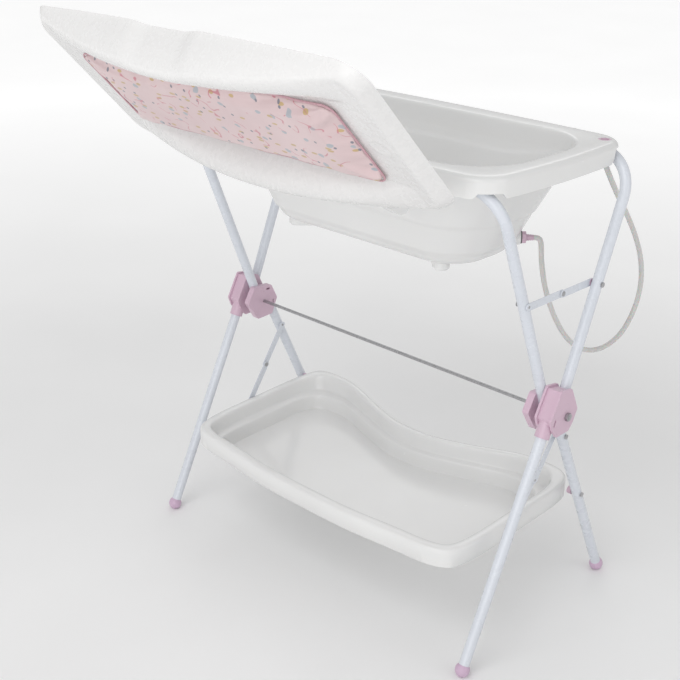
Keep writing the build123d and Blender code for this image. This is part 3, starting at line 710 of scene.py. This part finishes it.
# ---- changing mat ----
def printed_cover():
    """Wipe-clean printed cover: soft blobs, short dashes, dots and thin open curves on pale pink."""
    material, nodes, links, shader = new_material("printed_cover")
    coords = nodes.new("ShaderNodeAttribute")
    coords.attribute_name = "print_place"
    place = coords.outputs["Vector"]
    tone = noise_node(nodes, links, place, 9.0, 3.0)
    colour = ramp_node(nodes, links, tone, [(0.3, (0.67, 0.515, 0.525)), (0.7, (0.72, 0.57, 0.575))])

    def warped(scale, amount, seed):
        shift = nodes.new("ShaderNodeMapping")
        shift.inputs["Location"].default_value = (seed, seed * 0.7, 0)
        links.new(place, shift.inputs["Vector"])
        tex = nodes.new("ShaderNodeTexNoise")
        tex.inputs["Scale"].default_value = scale
        tex.inputs["Detail"].default_value = 1.0
        links.new(shift.outputs["Vector"], tex.inputs["Vector"])
        centred = nodes.new("ShaderNodeVectorMath")
        centred.operation = "SUBTRACT"
        centred.inputs[1].default_value = (0.5, 0.5, 0.5)
        links.new(tex.outputs["Color"], centred.inputs[0])
        scaled = nodes.new("ShaderNodeVectorMath")
        scaled.operation = "SCALE"
        scaled.inputs["Scale"].default_value = amount
        links.new(centred.outputs["Vector"], scaled.inputs[0])
        total = nodes.new("ShaderNodeVectorMath")
        total.operation = "ADD"
        links.new(shift.outputs["Vector"], total.inputs[0])
        links.new(scaled.outputs["Vector"], total.inputs[1])
        return total.outputs["Vector"]

    def cells(vector, scale, stretch=(1, 1, 1)):
        squash = nodes.new("ShaderNodeMapping")
        squash.inputs["Scale"].default_value = stretch
        links.new(vector, squash.inputs["Vector"])
        tex = nodes.new("ShaderNodeTexVoronoi")
        tex.voronoi_dimensions = "2D"
        tex.feature = "F1"
        tex.inputs["Scale"].default_value = scale
        tex.inputs["Randomness"].default_value = 0.8
        links.new(squash.outputs["Vector"], tex.inputs["Vector"])
        return tex

    def spot(base, tex, radius, soft, ink, keep=None):
        """Lay an ink over the base where a cell's distance is small."""
        mask = value_range(nodes, links, tex.outputs["Distance"], 1.0, 0.0, radius, radius + soft)
        if keep is not None:
            split = nodes.new("ShaderNodeSeparateColor")
            links.new(tex.outputs["Color"], split.inputs["Color"])
            choose = value_range(nodes, links, split.outputs["Red"], 0.0, 1.0, keep, keep + 0.01)
            both = nodes.new("ShaderNodeMath")
            both.operation = "MULTIPLY"
            links.new(mask, both.inputs[0])
            links.new(choose, both.inputs[1])
            mask = both.outputs["Value"]
        mix = nodes.new("ShaderNodeMix")
        mix.data_type = "RGBA"
        sockets = {s.identifier: s for s in mix.inputs}
        links.new(mask, sockets["Factor_Float"])
        links.new(base, sockets["A_Color"])
        sockets["B_Color"].default_value = (*ink, 1)
        return {s.identifier: s for s in mix.outputs}["Result_Color"]

    blob = cells(warped(70.0, 0.010, 1.3), 25.0, (1, 1.15, 1))
    colour = spot(colour, blob, 0.12, 0.02, GREY_BLUE, 0.45)
    dash = cells(warped(40.0, 0.006, 4.1), 26.0, (1, 2.2, 1))
    colour = spot(colour, dash, 0.14, 0.02, MUSTARD, 0.50)
    dots = cells(warped(60.0, 0.002, 7.7), 62.0)
    colour = spot(colour, dots, 0.14, 0.03, DARK_DOT, 0.80)
    swirl = nodes.new("ShaderNodeTexNoise")
    swirl.inputs["Scale"].default_value = 34.0
    swirl.inputs["Detail"].default_value = 0.5
    links.new(warped(25.0, 0.012, 11.0), swirl.inputs["Vector"])
    line = nodes.new("ShaderNodeMath")
    line.operation = "SUBTRACT"
    line.inputs[1].default_value = 0.52
    links.new(swirl.outputs["Fac"], line.inputs[0])
    away = nodes.new("ShaderNodeMath")
    away.operation = "ABSOLUTE"
    links.new(line.outputs["Value"], away.inputs[0])
    thin = value_range(nodes, links, away.outputs["Value"], 1.0, 0.0, 0.010, 0.020)
    patch = noise_node(nodes, links, place, 38.0, 1.0)
    where = value_range(nodes, links, patch, 0.0, 0.8, 0.54, 0.57)
    both = nodes.new("ShaderNodeMath")
    both.operation = "MULTIPLY"
    links.new(thin, both.inputs[0])
    links.new(where, both.inputs[1])
    mix = nodes.new("ShaderNodeMix")
    mix.data_type = "RGBA"
    sockets = {s.identifier: s for s in mix.inputs}
    links.new(both.outputs["Value"], sockets["Factor_Float"])
    links.new(colour, sockets["A_Color"])
    sockets["B_Color"].default_value = (*DOODLE, 1)
    links.new({s.identifier: s for s in mix.outputs}["Result_Color"], shader.inputs["Base Color"])
    weave = noise_node(nodes, links, place, 900.0, 2.0)
    crease = noise_node(nodes, links, place, 26.0, 4.0, 0.55)
    links.new(value_range(nodes, links, crease, 0.34, 0.50), shader.inputs["Roughness"])
    add_bump(nodes, links, shader, [(crease, 0.30, 0.0022), (weave, 0.25, 0.00006)])
    shader.inputs["Sheen Weight"].default_value = 0.15
    return material


def piping_cover():
    material, nodes, links, shader = new_material("piping_cover")
    vec = object_coords(nodes, links)
    twist = noise_node(nodes, links, vec, 260.0, 3.0)
    links.new(ramp_node(nodes, links, twist, [(0.3, (0.50, 0.29, 0.33)), (0.7, (0.60, 0.37, 0.41))]),
              shader.inputs["Base Color"])
    links.new(value_range(nodes, links, twist, 0.40, 0.55), shader.inputs["Roughness"])
    add_bump(nodes, links, shader, [(twist, 0.3, 0.0002)])
    return material


def mat_blank():
    """Slack pillow that the simulation fills: flat under, crowned over, with pulled-in edges."""
    rings = []
    levels = [(0.060, 0.0), (0.030, 0.0), (0.004, 0.0), (0.0, 0.0020), (-0.0008, 0.0045), (0.0, 0.0070),
              (0.0035, 0.0092), (0.010, 0.0105), (0.022, 0.0112), (0.045, 0.0116), (0.075, 0.0118)]
    for inset, height in levels:
        ring = []
        for x, y in round_rect(MAT_HALF_X - inset, MAT_HALF_S - inset, max(0.020 - inset, 0.006), 240):
            pull_x = 0.0035 * (1 - (y / MAT_HALF_S) ** 2)
            pull_y = 0.0030 * (1 - (x / MAT_HALF_X) ** 2)
            shrink_x = 1 - (pull_x if abs(x) > 0.2 else 0) / MAT_HALF_X
            ring.append((x * shrink_x, y * (1 - pull_y / MAT_HALF_S), height))
        rings.append(ring)
    return skin_rings("changing_pad", rings)


def inflate(obj, cap):
    """Fill a pad with cloth pressure, keeping each point within a cap of where it began."""
    remesh = obj.modifiers.new("remesh", "REMESH")
    remesh.mode = "VOXEL"
    remesh.voxel_size = PAD_VOXEL
    apply_modifiers(obj)
    start = [v.co.copy() for v in obj.data.vertices]
    group = obj.vertex_groups.new(name="pin")
    low = [v.index for v in obj.data.vertices if v.co.z < 0.0012]
    group.add(low, 1.0, "REPLACE")
    cloth = obj.modifiers.new("cloth", "CLOTH")
    cloth.settings.use_pressure = True
    cloth.settings.uniform_pressure_force = PAD_PRESSURE
    cloth.settings.effector_weights.gravity = 0
    cloth.settings.vertex_group_mass = "pin"
    cloth.settings.tension_stiffness = 12
    cloth.settings.bending_stiffness = 0.4
    cloth.point_cache.frame_start, cloth.point_cache.frame_end = 1, PAD_STEPS
    for step in range(1, PAD_STEPS + 1):
        bpy.context.scene.frame_set(step)
    apply_modifiers(obj)
    bpy.context.scene.frame_set(1)
    for vertex, home in zip(obj.data.vertices, start):
        move = vertex.co - home
        if move.length > cap:
            vertex.co = home + move.normalized() * cap


def crease_pad(obj):
    """Gathers that run in from the corners and ends, and a shallow seam round the edge."""
    for vertex in obj.data.vertices:
        x, y, z = vertex.co
        if z < 0.003:
            continue
        end = smooth((abs(x) - (MAT_HALF_X - 0.055)) / 0.055)
        side = smooth((abs(y) - (MAT_HALF_S - 0.030)) / 0.030)
        fold = math.sin(y * 240 + 1.7 * noise.noise((x * 30, y * 12, 3.1)))
        edge = math.sin(x * 150 + 2.4 * noise.noise((x * 9, y * 40, 8.3)))
        swell = noise.noise((x * 14, y * 14, 0.7))
        drop = 0.0011 * end * fold + 0.0007 * side * edge + 0.0010 * swell
        vertex.co.z = z + drop


def piping(name, points, radius):
    """Thin sewn cord along a line."""
    curve = bpy.data.curves.new(name, "CURVE")
    curve.dimensions = "3D"
    spline = curve.splines.new("NURBS")
    spline.points.add(len(points) - 1)
    for point, place in zip(spline.points, points):
        point.co = (*place, 1)
    spline.order_u = 3
    spline.use_cyclic_u = True
    curve.bevel_depth = radius
    curve.bevel_resolution = 4
    obj = bpy.data.objects.new(name, curve)
    bpy.context.scene.collection.objects.link(obj)
    mesh = bpy.data.meshes.new_from_object(obj)
    bpy.data.objects.remove(obj)
    obj = bpy.data.objects.new(name, mesh)
    bpy.context.scene.collection.objects.link(obj)
    return obj


def make_mat():
    pad = mat_blank()
    inflate(pad, PAD_CAP)
    crease_pad(pad)
    sub = pad.modifiers.new("sub", "SUBSURF")
    sub.levels = sub.render_levels = 1
    apply_modifiers(pad)
    place = pad.data.attributes.new("print_place", "FLOAT_VECTOR", "POINT")
    for item, vertex in zip(place.data, pad.data.vertices):
        item.vector = vertex.co
    seat = lid_matrix() @ Matrix.Translation((0, LID_MID, LID_BASE + PLATEAU + 0.0006))
    pad.data.transform(seat)
    paint(pad, printed_cover())
    shade_smooth(pad, 180)
    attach(pad, "top_body")
    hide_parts("changing_mat")
    edge = [(x * 1.002, y * 1.006, 0.0046 + 0.0006 * math.sin(x * 60))
            for x, y in round_rect(MAT_HALF_X, MAT_HALF_S, 0.019, 160)]
    cord = piping("pad_piping", edge, 0.0017)
    cord.data.transform(seat)
    paint(cord, piping_cover())
    shade_smooth(cord, 180)
    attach(cord, "top_body")


# ---- room ----
def area_light(name, place, aim, size, power, tint=(1, 1, 1)):
    data = bpy.data.lights.new(name, "AREA")
    data.shape = "RECTANGLE"
    data.size, data.size_y = size
    data.energy = power
    data.color = tint
    light = bpy.data.objects.new(name, data)
    light.location = place
    light.rotation_euler = (Vector(aim) - Vector(place)).to_track_quat("-Z", "Y").to_euler()
    bpy.context.scene.collection.objects.link(light)


def make_room():
    """Plain pale floor that runs out past the view, soft light and an even pale world."""
    material, nodes, links, shader = new_material("pale_floor")
    vec = object_coords(nodes, links)
    tone = noise_node(nodes, links, vec, 2.0, 2.0)
    links.new(ramp_node(nodes, links, tone, [(0.3, (0.90, 0.90, 0.90)), (0.7, (0.93, 0.93, 0.93))]),
              shader.inputs["Base Color"])
    shader.inputs["Roughness"].default_value = 0.85
    away = nodes.new("ShaderNodeVectorMath")
    away.operation = "LENGTH"
    links.new(vec, away.inputs[0])
    links.new(value_range(nodes, links, away.outputs["Value"], 0.0, 0.42, 1.2, 4.5),
              shader.inputs["Emission Strength"])
    shader.inputs["Emission Color"].default_value = (1, 1, 1, 1)
    size = FLOOR_HALF
    floor = add_object("floor", [(-size, -size, 0), (size, -size, 0), (size, size, 0), (-size, size, 0)],
                       [(0, 1, 2, 3)])
    paint(floor, material)
    world = bpy.data.worlds.new("studio")
    world.use_nodes = True
    background = world.node_tree.nodes["Background"]
    background.inputs["Color"].default_value = (1.0, 1.0, 1.0, 1)
    background.inputs["Strength"].default_value = 0.58
    bpy.context.scene.world = world
    area_light("key", (0.4, -2.4, 3.4), (0, 0.1, 0.6), (2.6, 2.0), 34)
    area_light("fill", (3.2, 0.6, 2.2), (0, 0.1, 0.6), (2.2, 2.2), 9)
    area_light("front", (1.4, -3.2, 1.1), (0, 0, 0.8), (2.6, 1.8), 26)
    area_light("back", (-1.8, 2.6, 2.8), (0, 0.1, 0.7), (2.4, 1.6), 15)
    bpy.context.scene.view_settings.view_transform = "Standard"


add_camera()
make_hose()
paint_cad_nodes()
make_bath()
make_tray()
make_lid()
make_mat()
make_room()
